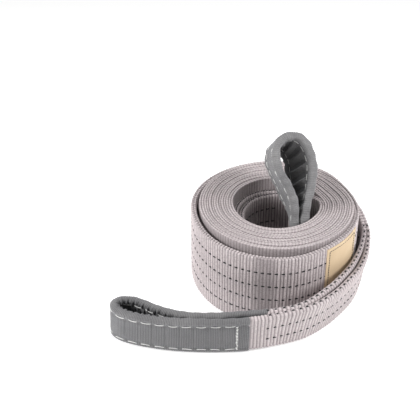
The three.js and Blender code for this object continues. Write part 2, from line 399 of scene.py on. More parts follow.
WEBBING = webbing_material()
SLEEVE = sleeve_material()
MARKER = yarn_material("marker_yarn", (0.012, 0.012, 0.014), (0.03, 0.028, 0.03), 0.1)
THREAD = yarn_material("white_thread", (0.92, 0.92, 0.9), (0.8, 0.8, 0.78), 0.2)
DARK_THREAD = yarn_material("dark_thread", (0.03, 0.03, 0.035), (0.06, 0.06, 0.065), 0.1)
LABEL = label_material()


# Small forms on a band

class Bits:
    """Many small closed forms, gathered into one mesh."""

    def __init__(self):
        self.points, self.faces, self.count = [], [], 0

    def add(self, points, faces):
        self.points.append(np.asarray(points))
        self.faces += [[k + self.count for k in f] for f in faces]
        self.count += len(points)

    def pad(self, centre, along, across, normal, length, width, rise):
        """A low yarn float on a surface."""
        corners = []
        for height, share in ((-0.35, 1.0), (0.55 * rise, 0.92), (rise, 0.55)):
            for sa, sb in ((-1, -1), (1, -1), (1, 1), (-1, 1)):
                corners.append(centre + along * sa * share * length / 2
                               + across * sb * share * width / 2 + normal * height)
        faces = [[3, 2, 1, 0], [8, 9, 10, 11]]
        for base in (0, 4):
            for k in range(4):
                faces.append([base + k, base + (k + 1) % 4, base + 4 + (k + 1) % 4, base + 4 + k])
        self.add(corners, faces)

    def thread(self, line, radius, sides=6):
        """A round thread along points, closed at its ends."""
        line = np.asarray(line, float)
        tangent = unit(np.gradient(line, axis=0))
        first = unit(np.cross(tangent, [0.31, 0.17, 0.93]))
        second = np.cross(tangent, first)
        angle = np.arange(sides) * 2 * np.pi / sides
        size = np.full(len(line), radius)
        size[[0, -1]] = radius * 0.45
        ring = (first[:, None] * np.cos(angle)[:, None]
                + second[:, None] * np.sin(angle)[:, None])
        ring = line[:, None] + size[:, None, None] * ring
        n = len(line)
        faces = [list(range(sides))[::-1], [(n - 1) * sides + k for k in range(sides)]]
        for i in range(n - 1):
            for k in range(sides):
                k2 = (k + 1) % sides
                faces.append([i * sides + k, i * sides + k2, (i + 1) * sides + k2,
                              (i + 1) * sides + k])
        self.add(ring.reshape(-1, 3), faces)

    def build(self, name):
        points = np.vstack(self.points) * MM + AXIS
        return make_mesh(name, points, self.faces)


def surface_frame(band, s, a, b, na, nb):
    """Place, direction along, direction across and normal of a spot on a band."""
    here = band.place(s, a, b)
    ahead = unit(band.place(s + 0.5, a, b) - band.place(s - 0.5, a, b))
    normal = band.read("normal", s) * na + unit(band.read("width", s)) * nb
    normal = unit(normal - ahead * np.dot(normal, ahead))
    return here, ahead, np.cross(normal, ahead), normal


def add_dashes(bits, band, start, end, spot, length=DASH_LENGTH, width=DASH_WIDTH, phase=0.0):
    """Dashes of marker yarn along a band. spot(s) gives a, b, na and nb of the line, or None
    where it is hidden."""
    first = math.ceil((start - phase) / DASH_PITCH)
    last = math.floor((end - phase) / DASH_PITCH)
    for k in range(first, last + 1):
        s = k * DASH_PITCH + phase + rng.normal(0, 0.12)
        found = spot(s)
        if found is None:
            continue
        here, ahead, across, normal = surface_frame(band, s, *found)
        rise = 0.12 + 0.6 * RIB_DEPTH * float(band.read("ribs", s))
        bits.pad(here, ahead, across, normal, length * rng.uniform(0.85, 1.12),
                 width * rng.uniform(0.9, 1.1), rise)


def relief(band, s, a, b, na, nb, depth, bulge=0.0):
    """Rings of points with the ribs raised on them; a fold's top is fuller than its legs."""
    lift = depth * (rib(s) * band.read("ribs", s))[:, None]
    high = band.read("high", s)[:, None]
    folded = band.read("ribs", s)[:, None] * smoothstep(WEB_WIDTH - high, 12, 44)
    lift = lift + bulge * folded * smoothstep(b / high, 0.62, 0.95)
    return band.place(s[:, None], a + na * lift, b + nb * lift)


def groove_shade(band, s, m, extra=None):
    """How dark each point is: painted shade in the grooves between the ribs."""
    value = np.clip(0.15 - 1.0 * rib(s), 0, 1) * band.read("ribs", s)
    value = np.repeat(value[:, None], m, axis=1)
    return value if extra is None else np.clip(value + extra, 0, 1)


def stations(start, end, steps=STEPS_PER_RIB):
    """Stations along a band in step with its ribs."""
    step = RIB_PITCH / steps
    first, last = math.ceil(start / step), math.floor(end / step)
    middle = np.arange(first, last + 1) * step
    return np.unique(np.concatenate([[start], middle[(middle > start + 0.2)
                                                      & (middle < end - 0.2)], [end]]))


# The roll: seven turns of two plies

# In each turn the band steps out to the next one between these angles
JOG_FROM, JOG_TO = 28, -6
JOG = JOG_FROM - JOG_TO
ROLL_TRAVEL = TURNS * 360
PLY_ROUNDING = 1.3


def turn_radius(travel):
    """Radius of the band's inner face after so many degrees clockwise from its start: each turn
    is round, and steps out to the next over the start of the one below."""
    turn = np.floor(travel / 360)
    within = travel - 360 * turn
    jog = smoothstep(within, 360 - JOG, 360)
    return BORE_RADIUS + GAP / 2 + THICKNESS * (turn + jog)


def roll_ply(name, offset):
    """One ply of the roll, with its middle so far out from the band's inner face."""
    travel = np.arange(0, ROLL_TRAVEL + 0.01, 1.0)
    travel[-1] = ROLL_TRAVEL - 1e-6
    radius = turn_radius(travel) + offset
    degrees = JOG_TO - travel
    flat = polar(degrees, radius)
    centre = np.column_stack([flat, np.zeros(len(flat))])
    outward = unit(centre)
    upward = np.tile([0.0, 0.0, 1.0], (len(flat), 1))
    sink = ROLL_RISE * smoothstep(travel, ROLL_TRAVEL - JOG, ROLL_TRAVEL)
    wander = 0.5 * np.sin(travel * 0.021 + offset) + 0.35 * np.sin(travel * 0.0473)
    low = ROLL_RISE - sink + 0.3 * wander
    high = ROLL_RISE + WEB_WIDTH - sink + wander
    band = Band(centre, outward, upward, PLY / 2 - PLY_CLEARANCE, low, high, PLY_ROUNDING, 1)
    s = stations(0, band.length)
    a, b, na, nb = band.outline(s, (0.0, 1.0), 2)
    nick = 0.45 * np.cos(2 * np.pi * s / (RIB_PITCH / 2))[:, None]
    lift = RIB_DEPTH * 0.5 * rib(s)[:, None]
    rings = band.place(s[:, None], a + na * lift, b + nb * nick)
    m = rings.shape[1]
    # Painted shade: darker in the rib grooves, and on the plies' inner and outer faces, which lie
    # in the crevices between plies.
    shade = np.clip(0.10 - 0.35 * rib(s), 0, 1)[:, None] * np.ones(m)
    shade = np.clip(shade + 0.35 * (np.abs(na) > 0.8), 0, 1)
    return loft(name, rings, s, shade), band


roll_parts = []
for offset, ply_name in ((PLY * 0.5, "roll_inner_ply"), (PLY * 1.5, "roll_outer_ply")):
    part, band = roll_ply(ply_name, offset)
    roll_parts.append(part)
roll = dress(join("rolled_webbing", roll_parts), WEBBING, "webbing", "webbing_roll")


# The outer web: one strap from under the tail, round the roll, out to the eye and back

# The tail's and the eye's paths are chosen points round the roll's axis; the eye's starts and
# ends where the two legs meet it
TIGHT_RADIUS = ROLL_RADIUS + GAP + THICKNESS
TURN_SLACK, TURN_LIFT_OFF = 4, 5
TAIL_LEAN, TIP_LEAN, TIP_SINK = 17, 5, 5
TAIL_PATH = [(134.5, -4), (131.5, -24), (123.5, -53), (110, -82), (93, -106), (70, -132),
             (40, -156), (8, -170)]
EYE_PATH = [(14, -164), (-20, -175), (-45, -179.5), (-75, -181.6), (-111, -181.8),
            (-150, -179), (-188, -171.5), (-214, -163), (-228, -154), (-233.5, -143),
            (-228, -134.5), (-214, -132.5), (-198, -138), (-176, -151), (-155, -160.5),
            (-137, -166), (-117, -169.5), (-88, -170.4), (-64, -169), (-41, -166.8),
            (-17, -164), (18, -154)]
# Distances before the run's end where the web starts and ends to fold, and its legs to double
FOLD_START, FOLD_END = 350, 180
LEGS_START, LEGS_FULL = 225, 105
RUN_START, RUN_END, RUN_STEP = -6, -351, -8
RUN_SPACING = 7.0
LEG_ROUNDING = 1.4
FRONT_SINK = 3
LEG_PARTING = 5.5
FOLD_BULGE = 1.5


def turn_outer(degrees):
    """Radius of the outer turn's outer face at an angle, from -6 to -350 degrees."""
    slack = smoothstep(-degrees, 35, 90) - smoothstep(-degrees, 185, 245)
    slack = slack + 0.8 * (smoothstep(-degrees, 58, 92) - smoothstep(-degrees, 120, 170))
    climb = smoothstep(-degrees, 285, 340)
    leaving = smoothstep(-degrees, 335, 370)
    return (TIGHT_RADIUS + TURN_SLACK * slack + (THICKNESS + GAP) * climb
            + 2 * TURN_LIFT_OFF * leaving)


run_degrees = np.arange(RUN_START, RUN_END, RUN_STEP)
run_line = spline(np.vstack([polar(run_degrees, turn_outer(run_degrees)), TAIL_PATH]), 24)
run_along = np.concatenate([[0], np.cumsum(np.linalg.norm(np.diff(run_line, axis=0), axis=1))])
run_length = run_along[-1]


def run_points(side):
    """Control numbers of one ply along the run: x, y, half thickness, low, high, lean in x and y,
    rounding, ribs. side 0 is the outer ply and 1 the inner one."""
    s = np.linspace(0, run_length, int(run_length / RUN_SPACING))
    point = np.stack([np.interp(s, run_along, run_line[:, k]) for k in (0, 1)], axis=-1)
    ahead = unit(np.gradient(point, axis=0))
    outward = np.stack([-ahead[:, 1], ahead[:, 0]], axis=-1)
    left = run_length - s
    folded = 1 - smoothstep(left, FOLD_END, FOLD_START)
    doubled = 1 - smoothstep(left, LEGS_FULL, LEGS_START)
    leaning = 1 - smoothstep(left, 0, FOLD_START)
    high = WEB_WIDTH + (FOLD_WIDTH - WEB_WIDTH) * folded
    high = high - FRONT_SINK * (smoothstep(s, 60, 150) - smoothstep(s, 300, 380))
    leg = PLY * (1 + doubled)
    inset = leg * (0.5 + side)
    parting = LEG_PARTING * side * (1 - smoothstep(left, 150, 260)) * smoothstep(left, -10, 70)
    lean = ((TAIL_LEAN * leaning - parting) / high)[:, None] * outward
    place = point - outward * inset[:, None]
    half = leg / 2 - PLY_CLEARANCE - 0.1 * doubled
    rounding = LEG_ROUNDING + (leg / 2 - LEG_ROUNDING) * doubled
    return np.column_stack([place, half, np.zeros(len(s)), high, lean, rounding, np.ones(len(s))])


def eye_points():
    """Control numbers along the outer eye's webbing, which is bare of ribs inside its sleeve."""
    path = np.array(EYE_PATH, float)[1:-1]
    steps = np.concatenate([[0], np.cumsum(np.linalg.norm(np.diff(EYE_PATH, axis=0), axis=1))])
    share = (steps / steps[-1])[1:-1]
    tip = 1 - np.abs(2 * share - 1)
    high = FOLD_WIDTH - TIP_SINK * smoothstep(tip, 0.2, 1)
    lean_x = TIP_LEAN * smoothstep(tip, 0.4, 1) / FOLD_WIDTH
    low = (SLEEVE_WALL + GAP) * smoothstep(np.minimum(share, 1 - share), 0.03, 0.06)
    n = len(path)
    return np.column_stack([path, np.full(n, THICKNESS / 2 - 0.2), low, high, lean_x,
                            np.full(n, -TAIL_LEAN / FOLD_WIDTH), np.full(n, THICKNESS / 2 - 0.2),
                            smoothstep(np.minimum(share, 1 - share), 0.16, 0.10)])


def flat_band(controls):
    """A band that stands on its edge on the floor, from its control numbers."""
    c = spline(controls, 8)
    centre = np.column_stack([c[:, 0:2], np.zeros(len(c))])
    ahead = unit(np.gradient(centre, axis=0))
    normal = np.column_stack([-ahead[:, 1], ahead[:, 0], np.zeros(len(c))])
    width = np.column_stack([c[:, 5], c[:, 6], np.ones(len(c))])
    return Band(centre, normal, width, c[:, 2], c[:, 3], c[:, 4], c[:, 7],
                np.clip(c[:, 8], 0, 1))


eye_controls = eye_points()
web = flat_band(np.vstack([run_points(0)[:-1], eye_controls, run_points(1)[::-1][1:]]))


def nearest_along(band, xy):
    """Distance along a band of its nearest place to a point seen from above."""
    return band.along[np.argmin(np.linalg.norm(band.centre[:, :2] - np.asarray(xy), axis=1))]


EYE_START = nearest_along(web, eye_controls[0, :2])
EYE_END = nearest_along(web, eye_controls[-1, :2])
EYE_TIP = nearest_along(web, min(EYE_PATH))

# Where the eye's sleeve begins and ends along the strap: some of the eye's 72 steps in from
# the path's ends, and then so far back
EYE_STEPS = 72
FRONT_STEPS, BACK_STEPS = 8, 5
FRONT_REACH, BACK_REACH = 34, 35
eye_length = np.linalg.norm(np.diff(spline(EYE_PATH), axis=0), axis=1).sum()
SLEEVE_FROM = EYE_START + eye_length * FRONT_STEPS / EYE_STEPS - FRONT_REACH
SLEEVE_TO = EYE_END - eye_length * BACK_STEPS / EYE_STEPS + BACK_REACH

# The end of the web's splice shows through the outer turn as a smoother, darker band
SPLICE_ANGLE = -100.0
SPLICE_AT = nearest_along(web, polar(SPLICE_ANGLE, turn_outer(SPLICE_ANGLE) - PLY / 2))
SPLICE_HALF = 15.0
SPLICE_DARK = 0.36
SPLICE_FLAT = 0.55
web.ribs = web.ribs * (1 - SPLICE_FLAT * np.exp(-((web.along - SPLICE_AT) / SPLICE_HALF) ** 6))

# Inside the sleeve the web is smooth and a little thinner, so that it doesn't come through
covered = (smoothstep(web.along, SLEEVE_FROM, SLEEVE_FROM + 5)
           * smoothstep(-web.along, -SLEEVE_TO, 5 - SLEEVE_TO))
web.ribs = web.ribs * (1 - covered)
web.half = web.half - 0.5 * covered
web.high = web.high - 1.0 * covered


def web_mesh(name):
    s = stations(0, web.length)
    a, b, na, nb = web.outline(s, ROWS, CORNER)
    rings = relief(web, s, a, b, na, nb, RIB_DEPTH, FOLD_BULGE)
    splice = SPLICE_DARK * np.exp(-((s - SPLICE_AT) / SPLICE_HALF) ** 6)
    return loft(name, rings, s, groove_shade(web, s, rings.shape[1], splice[:, None]))


outer_web = dress(web_mesh("outer_webbing"), WEBBING, "webbing", "webbing_outer_run")


def fold_share(s):
    """How far the strap is folded at a place, 0 flat to 1 folded, from its height."""
    return (WEB_WIDTH - web.read("high", s)) / (WEB_WIDTH - FOLD_WIDTH)


def face_line(number, side):
    """A marker line on a face: number 1 is the lowest. As the web folds, the lowest and the
    highest line move round the folds."""
    def spot(s):
        half = float(web.read("half", s))
        high = float(web.read("high", s))
        low = float(web.read("low", s))
        fold = np.clip(float(fold_share(s)), 0, 1)
        # On the sunk front of the turn the lines crowd a little towards the floor
        crowd = 0.025 * (high > 100) * (high < WEB_WIDTH - 1)
        b = number * MARKER_GAP * (1 - crowd) - MARKER_GAP * fold
        if b > high - half * 0.8 or b < low + half * 0.8:
            return None
        return side * half, b, side, 0.0
    return spot


def fold_line(s):
    """The marker line along the top of the fold."""
    half, high = float(web.read("half", s)), float(web.read("high", s))
    if high > FOLD_WIDTH + 9 or web.read("ribs", s) < 0.3:
        return None
    return 0.0, high + FOLD_BULGE + 0.15, 0.0, 1.0


# The marker lines that show on the tail's legs, and how far back from the eye their folds run
LEG_LINES = (2, 3)
FOLDED_RUN = 330

bits = Bits()
for number in (1, 2, 3, 4):
    add_dashes(bits, web, 8, EYE_START + 6, face_line(number, 1), phase=0.9 * number)
for number in LEG_LINES:
    add_dashes(bits, web, EYE_END, web.length - 420, face_line(number, -1))
    add_dashes(bits, web, EYE_END, web.length - 380, face_line(number, 1))
for start, end in ((EYE_START - FOLDED_RUN, EYE_START + 6),
                   (EYE_END - 6, EYE_END + FOLDED_RUN)):
    add_dashes(bits, web, start, end, fold_line, length=3.2, width=2.8)
run_markers = dress(bits.build("outer_marker_yarns"), MARKER, "webbing")


# The outer eye's sleeve

SLEEVE_RIB = 2.3
SLEEVE_RIB_DEPTH = 0.7
STITCH_PITCH = 19.3
STITCH_LENGTH = 16.0
STITCH_TOP = 0.84
STITCH_LOW = 0.11
THREAD_RADIUS = 0.5
TACK_INSET = 17
ZIGZAGS = 15
SLEEVE_ROUNDING = 4.6
SLEEVE_ROWS = (0.0, 0.04, 0.07, 0.1, 0.15, 0.3, 0.5, 0.7, 0.78, 0.82, 0.86, 0.9, 0.95, 1.0)

# The sleeve goes round the strap, with its wall outside
sleeve = Band(web.centre, web.normal, web.width, THICKNESS / 2 + GAP + SLEEVE_WALL, 0.0,
              web.high + SLEEVE_WALL + GAP, SLEEVE_ROUNDING, 1)


def sleeve_relief(s, a, b, na, nb, high, low, inside):
    """How far the sleeve's cloth stands out: fine ribs, the dents of the stitch rows, the puffed
    border above them, the creases that run down from the stitches, and the ruffled cloth that
    looks into the eye."""
    share = (b - low) / (high - low)
    ribs = 0.5 * SLEEVE_RIB_DEPTH * np.cos(2 * np.pi * s / SLEEVE_RIB)[:, None]
    beat = (s / STITCH_PITCH)[:, None]
    dip = np.cos(2 * np.pi * beat)
    face = np.abs(na)
    sag = 0.018 * (1 - dip)
    row = np.exp(-((share - STITCH_TOP + sag) / 0.035) ** 2)
    row_low = np.exp(-((share - STITCH_LOW - sag) / 0.03) ** 2)
    dent = -1.3 * (row + 0.8 * row_low) * face
    puff = 1.1 * np.exp(-((share - 0.93) / 0.05) ** 2) * (0.75 + 0.35 * -dip)
    crease = -0.55 * np.exp(-(((beat + 0.04 * share) % 1 - 0.5) / 0.05) ** 2)
    crease = crease * smoothstep(share, 0.1, 0.4)
    lip = 0.5 * np.cos(2 * np.pi * beat + 1.0) * np.clip(nb, 0, 1)
    tangle = (np.sin(2 * np.pi * (s[:, None] / 9.0 + share * 1.7))
              + 0.7 * np.sin(2 * np.pi * (s[:, None] / 5.3 - share * 2.3)))
    pleats = inside[:, None] * 0.9 * tangle * np.clip(-na, 0, 1)
    return ribs + dent + puff * face + crease * face + lip + pleats


def sleeve_mesh(name):
    step = SLEEVE_RIB / STEPS_PER_RIB
    s = np.arange(SLEEVE_FROM, SLEEVE_TO + step / 2, step)
    a, b, na, nb = sleeve.outline(s, SLEEVE_ROWS, CORNER)
    high = sleeve.read("high", s)[:, None]
    low = sleeve.read("low", s)[:, None]
    hidden = inside_outer_eye(s)
    lift = sleeve_relief(s, a, b, na, nb, high, low, hidden)
    rim = np.minimum(s - SLEEVE_FROM, SLEEVE_TO - s)
    # The two legs press on each other near the sleeve's mouths
    squeezed = 1 - smoothstep(rim, 35, 75)[:, None]
    lift = lift - (1.7 + 0.3 * lift) * squeezed * np.clip(-na, 0, 1)
    lift = lift - 0.5 * np.exp(-(rim / 1.2) ** 2)[:, None]
    outer = sleeve.place(s[:, None], a + na * lift, b + nb * lift)
    outer[..., 2] = np.maximum(outer[..., 2], 0.0)
    ai, bi, _, _ = sleeve.outline(s, SLEEVE_ROWS, CORNER, shrink=SLEEVE_WALL - 0.15)
    inner = sleeve.place(s[:, None], ai, bi)
    # Painted shade: darker in the grooves between the fine ribs and in the sunk dents and creases.
    shade = np.clip(-0.95 * np.cos(2 * np.pi * s / SLEEVE_RIB), 0, 1)[:, None]
    shade = shade + np.clip(-lift - 0.5, 0, 1) * 0.35
    share = (b - low) / (high - low)
    shade = shade + 0.16 * smoothstep(share, 0.05, 0.2) * smoothstep(-share, -0.86, -0.74)
    # Painted shade on the inner face where it looks into the eye's opening.
    shade = shade + hidden[:, None] * np.clip(-na, 0, 1) * 0.55
    return tube(name, outer, inner, np.clip(shade, 0, 1), s)


def tube(name, outer, inner, shade, along):
    """A sleeve of cloth with its inside: outer and inner rings joined at both ends."""
    n, m, _ = outer.shape
    points = np.vstack([outer.reshape(-1, 3), inner.reshape(-1, 3)]) * MM + AXIS
    i, j = np.arange(n - 1)[:, None], np.arange(m)[None, :]
    j2 = (j + 1) % m
    outside = np.stack([i * m + j, i * m + j2, (i + 1) * m + j2, (i + 1) * m + j], -1)
    outside = outside.reshape(-1, 4)
    base = n * m
    inside = (outside + base)[:, ::-1]
    k, k2 = np.arange(m), (np.arange(m) + 1) % m
    first = np.stack([k2, k, base + k, base + k2], -1)
    end = (n - 1) * m
    last = np.stack([end + k, end + k2, base + end + k2, base + end + k], -1)
    faces = np.vstack([outside, inside, first, last])
    round_ = np.concatenate([[0], np.cumsum(
        np.linalg.norm(np.roll(outer[n // 2], -1, axis=0) - outer[n // 2], axis=1))])[:m]
    u = np.tile(np.repeat(along, m), 2)
    v = np.tile(np.tile(round_, n), 2)
    uv = np.stack([u, v], -1)[faces.ravel()] * MM
    # Painted shade: the cloth's inside is half dark all over.
    both = np.concatenate([shade.ravel(), np.full(n * m, 0.5)])
    return make_mesh(name, points, faces.tolist(), uv, both)


def inside_outer_eye(s):
    """1 where the band's inner face looks into the eye's opening, 0 elsewhere."""
    return (smoothstep(s, EYE_TIP - 120, EYE_TIP - 70)
            * smoothstep(-s, -EYE_TIP - 120, -EYE_TIP - 70))


outer_sleeve = dress(sleeve_mesh("outer_sleeve"), SLEEVE, "sleeve", "outer_eye_sleeve")


def stitch_row(bits, band, start, end, spot, sag, pitch=STITCH_PITCH, length=STITCH_LENGTH):
    """A running stitch: slightly slack arcs of thread that dive into the cloth at their ends."""
    for k in range(int((end - start) / pitch)):
        middle = start + (k + 0.5) * pitch + rng.normal(0, 0.3)
        t = np.linspace(-1, 1, 9)
        half = length / 2 * rng.uniform(0.93, 1.05)
        drop = sag * rng.uniform(0.6, 1.2)
        tilt = rng.normal(0, 0.35)
        line = []
        for share in t:
            a, b, na, nb = spot(middle + share * half)
            lift = THREAD_RADIUS * 0.9 - 1.5 * abs(share) ** 8
            shift = drop * (share * share - 0.5) + tilt * share
            line.append(band.place(middle + share * half, a + na * lift, b + nb * lift + shift))
        bits.thread(line, THREAD_RADIUS)


def sleeve_spot(share, side, lift):
    """A stitch row's place on one of the sleeve's faces, at a share of its height."""
    def spot(s):
        low, high = float(sleeve.read("low", s)), float(sleeve.read("high", s))
        half = float(sleeve.read("half", s))
        return side * (half - 1.0 + lift), low + (high - low) * share, side, 0.0
    return spot


bits = Bits()
for side, margin in ((1, TACK_INSET), (-1, 80)):
    stitch_row(bits, sleeve, SLEEVE_FROM + margin, SLEEVE_TO - margin,
               sleeve_spot(STITCH_TOP, side, 0.25), 1.6)
    stitch_row(bits, sleeve, SLEEVE_FROM + margin, SLEEVE_TO - margin,
               sleeve_spot(STITCH_LOW, side, 0.1), -1.0)


def zigzag(bits, s):
    """A row of zigzag stitches across the sleeve's outer face."""
    half = float(sleeve.read("half", s))
    low, high = float(sleeve.read("low", s)), float(sleeve.read("high", s))
    share = np.linspace(STITCH_LOW, STITCH_TOP, 2 * ZIGZAGS + 1)
    place = low + (high - low) * share
    swing = np.where(np.arange(len(share)) % 2 == 0, -1.5, 1.5) + rng.normal(0, 0.35, len(share))
    for k in range(len(share) - 1):
        if k % 4 == 3:
            continue
        t = np.linspace(0, 1, 5)
        line = [sleeve.place(s + swing[k] + (swing[k + 1] - swing[k]) * x,
                             half + 0.35 - 0.9 * abs(2 * x - 1) ** 6,
                             place[k] + (place[k + 1] - place[k]) * x) for x in t]
        bits.thread(line, THREAD_RADIUS * 0.9)


zigzag(bits, SLEEVE_FROM + TACK_INSET)
zigzag(bits, SLEEVE_TO - TACK_INSET)
outer_thread = dress(bits.build("outer_sleeve_stitches"), THREAD, "sleeve")


# The lead round the bore's wall, and the inner eye

LEAD_DROP = 19
LEAD_TOP = ROLL_RISE + WEB_WIDTH - LEAD_DROP
LEAD_BOTTOM = LEAD_TOP - FOLD_WIDTH
LEAD_RADIUS = BORE_RADIUS - 2 * GAP - THICKNESS
LEAD_SWEEP, LEAD_STEP = 201, 9.0
LEAD_PARTING = 4.2
EYE_DROP = 13
EYE_FOOT = np.array([30.0, -9.5, ROLL_RISE + WEB_WIDTH - EYE_DROP])
INNER_EYE_LENGTH, INNER_EYE_HALF_WIDTH, INNER_EYE_SWAY = 121, 19, 7
INNER_EYE_LEAN, INNER_EYE_TURN, INNER_EYE_SPLAY = np.radians((31, 23, 12))
TIP_TILT = np.radians(14)


def lead_band(side):
    """One folded leg of the lead: side 1 is next to the bore's wall and -1 the inner leg. Its
    last points, chosen, cross the bore to the eye's foot and sink out of sight."""
    degrees = np.arange(JOG_TO, LEAD_SWEEP, LEAD_STEP)
    t = smoothstep(degrees, JOG_TO, JOG_FROM + 14)
    rolled = BORE_RADIUS + THICKNESS / 2 + side * PLY / 2
    parting = LEAD_PARTING * smoothstep(degrees, 60, 110) * (1 - smoothstep(degrees, 150, 200))
    within = LEAD_RADIUS + side * THICKNESS / 2 - (side < 0) * parting
    radius = rolled + (within - rolled) * t
    folded = smoothstep(degrees, JOG_TO, 80)
    half = PLY / 2 + (PLY / 2 - 0.1) * folded - 0.1
    low = ROLL_RISE + (LEAD_BOTTOM - ROLL_RISE) * folded
    high = ROLL_RISE + WEB_WIDTH + (LEAD_TOP - ROLL_RISE - WEB_WIDTH) * folded
    points = polar(degrees, radius)
    n = len(degrees)
    rows = np.column_stack([points, half, low, high, np.zeros((n, 2)), half, np.ones(n)])
    across = np.array([(-42, -33), (-27, -38), (-4, -31), (EYE_FOOT[0] - 9, EYE_FOOT[1] - 7)])
    shift = side * np.array([(-2.4, -2.7), (0.5, -3.6), (1.2, -3.4), (1.6, -3.2)])
    last = np.array([THICKNESS / 2 - 0.2, LEAD_BOTTOM, LEAD_TOP, 0, 0, THICKNESS / 2 - 0.2, 1])
    tail = np.column_stack([across + shift, np.tile(last, (len(across), 1))])
    tail[:, 3] -= (6, 16, 24, 28)
    tail[:, 4] -= (8, 20, 30, 36)
    return flat_band(np.vstack([rows, tail]))


lead_parts = []
leads = {side: lead_band(side) for side in (1, -1)}
for side, lead in leads.items():
    s = stations(0, lead.length)
    a, b, na, nb = lead.outline(s, ROWS, CORNER)
    rings = relief(lead, s, a, b, na, nb, RIB_DEPTH)
    # Painted shade: the lead's faces are darker below their top 22 mm, down in the bore.
    painted_bore_shade = 0.5 * smoothstep(-b, -LEAD_TOP, -LEAD_TOP + 22)
    shade = groove_shade(lead, s, rings.shape[1], painted_bore_shade)
    lead_parts.append(loft(f"lead_leg_{side}", rings, s, shade))


def inner_eye_frame(height, turned):
    """Directions at each height above the foot: across, up and width, each leg turned a little
    round the eye's axis."""
    height = np.asarray(height, float)
    lean = INNER_EYE_LEAN * smoothstep(height, -30, 25)
    splay = INNER_EYE_SPLAY * turned * smoothstep(height, 0, 60)
    turn = INNER_EYE_TURN * smoothstep(height, -20, 60)
    zero = np.zeros_like(height)
    across = np.stack([np.cos(turn), np.sin(turn), zero], -1)
    back = np.stack([-np.sin(turn), np.cos(turn), zero], -1)
    sky = np.array([0.0, 0.0, 1.0])
    up = sky * np.cos(lean)[:, None] + back * np.sin(lean)[:, None]
    width = back * np.cos(lean)[:, None] - sky * np.sin(lean)[:, None]

    def spin(v):
        c, s = np.cos(splay)[:, None], np.sin(splay)[:, None]
        return v * c + np.cross(up, v) * s + up * (up * v).sum(-1, keepdims=True) * (1 - c)

    return spin(across), up, spin(width), across


def inner_eye_band(half, half_width):
    """The standing eye: up from its foot, over the tip and down again. The path's points are
    chosen, across and up from the foot."""
    w = INNER_EYE_HALF_WIDTH
    down = LEAD_BOTTOM - EYE_FOOT[2]
    left = [(-5.8, down), (-5.8, -45), (-5.8, -15), (-9, 16), (-15, 45), (-w - 2, 74),
            (-w, INNER_EYE_LENGTH - 25), (-12, INNER_EYE_LENGTH - 10)]
    path = left + [(0, INNER_EYE_LENGTH - 5.4)] + [(-x, y) for x, y in left[::-1]]
    line = spline(path, 24)
    ahead = unit(np.gradient(line, axis=0))
    heights = np.linspace(down, INNER_EYE_LENGTH, 400)
    _, up, _, _ = inner_eye_frame(heights, 0.0)
    places = np.cumsum(up * (heights[1] - heights[0]), axis=0)
    zero = np.array([np.interp(0, heights, places[:, k]) for k in range(3)])
    axis = np.stack([np.interp(line[:, 1], heights, places[:, k]) for k in range(3)], -1)
    axis = axis - zero + EYE_FOOT
    turned = np.clip(line[:, 0] / w, -1, 1)
    across, up, width, plain = inner_eye_frame(line[:, 1], turned)
    tipped = TIP_TILT * smoothstep(line[:, 1], 58, INNER_EYE_LENGTH)[:, None]
    near = width.copy()
    width = width * np.cos(tipped) - up * np.sin(tipped)
    sway = INNER_EYE_SWAY * smoothstep(line[:, 1], -10, INNER_EYE_LENGTH)
    centre = axis + plain * (line[:, 0] - sway)[:, None]
    centre = centre + (width - near) * FOLD_WIDTH / 2
    normal = unit(-across * ahead[:, 1:2] + up * ahead[:, 0:1])
    normal = unit(normal - width * (normal * width).sum(-1, keepdims=True))
    return Band(centre, normal, width, half, -half_width, half_width, min(half, SLEEVE_ROUNDING), 0)


inner_web = inner_eye_band(THICKNESS / 2 - 0.1, FOLD_WIDTH / 2 - SLEEVE_WALL - GAP)
s = stations(0, inner_web.length, 2)
a, b, na, nb = inner_web.outline(s, (0.0, 0.5, 1.0), CORNER)
rings = relief(inner_web, s, a, b, na, nb, 0)
shade = groove_shade(inner_web, s, rings.shape[1])
lead_parts.append(loft("inner_eye_core", rings, s, shade))
inner_webbing = dress(join("inner_webbing", lead_parts), WEBBING, "webbing", "webbing_inner_run")

bits = Bits()
for side, lead in leads.items():
    def lead_line(number, face, lead=lead):
        def spot(s):
            half, low = float(lead.read("half", s)), float(lead.read("low", s))
            return face * half, low + number * MARKER_GAP, face, 0.0
        return spot

    def lead_fold(s, lead=lead):
        if lead.read("high", s) > LEAD_TOP + 4:
            return None
        return 0.0, float(lead.read("high", s)), 0.0, 1.0

    for number in (1, 2):
        for face in (1, -1):
            add_dashes(bits, lead, 90, lead.length - 8, lead_line(number, face))
    for phase in (0.0, DASH_PITCH / 2):
        add_dashes(bits, lead, 20, lead.length - 8, lead_fold, length=3.0, width=2.0, phase=phase)
inner_markers = dress(bits.build("inner_marker_yarns"), MARKER, "webbing")

inner_sleeve_band = inner_eye_band(THICKNESS / 2 + GAP + SLEEVE_WALL, FOLD_WIDTH / 2)
INNER_STEPS, FOOT_STEPS = 60, 10
INNER_FROM = inner_sleeve_band.length * FOOT_STEPS / INNER_STEPS
INNER_TO = inner_sleeve_band.length * (INNER_STEPS - FOOT_STEPS) / INNER_STEPS
INNER_STITCH_PITCH, INNER_STITCH_LENGTH = 13.5, 10.0
INNER_ROWS = (0.2, 0.8)
PLEAT_DEPTH = 3.6


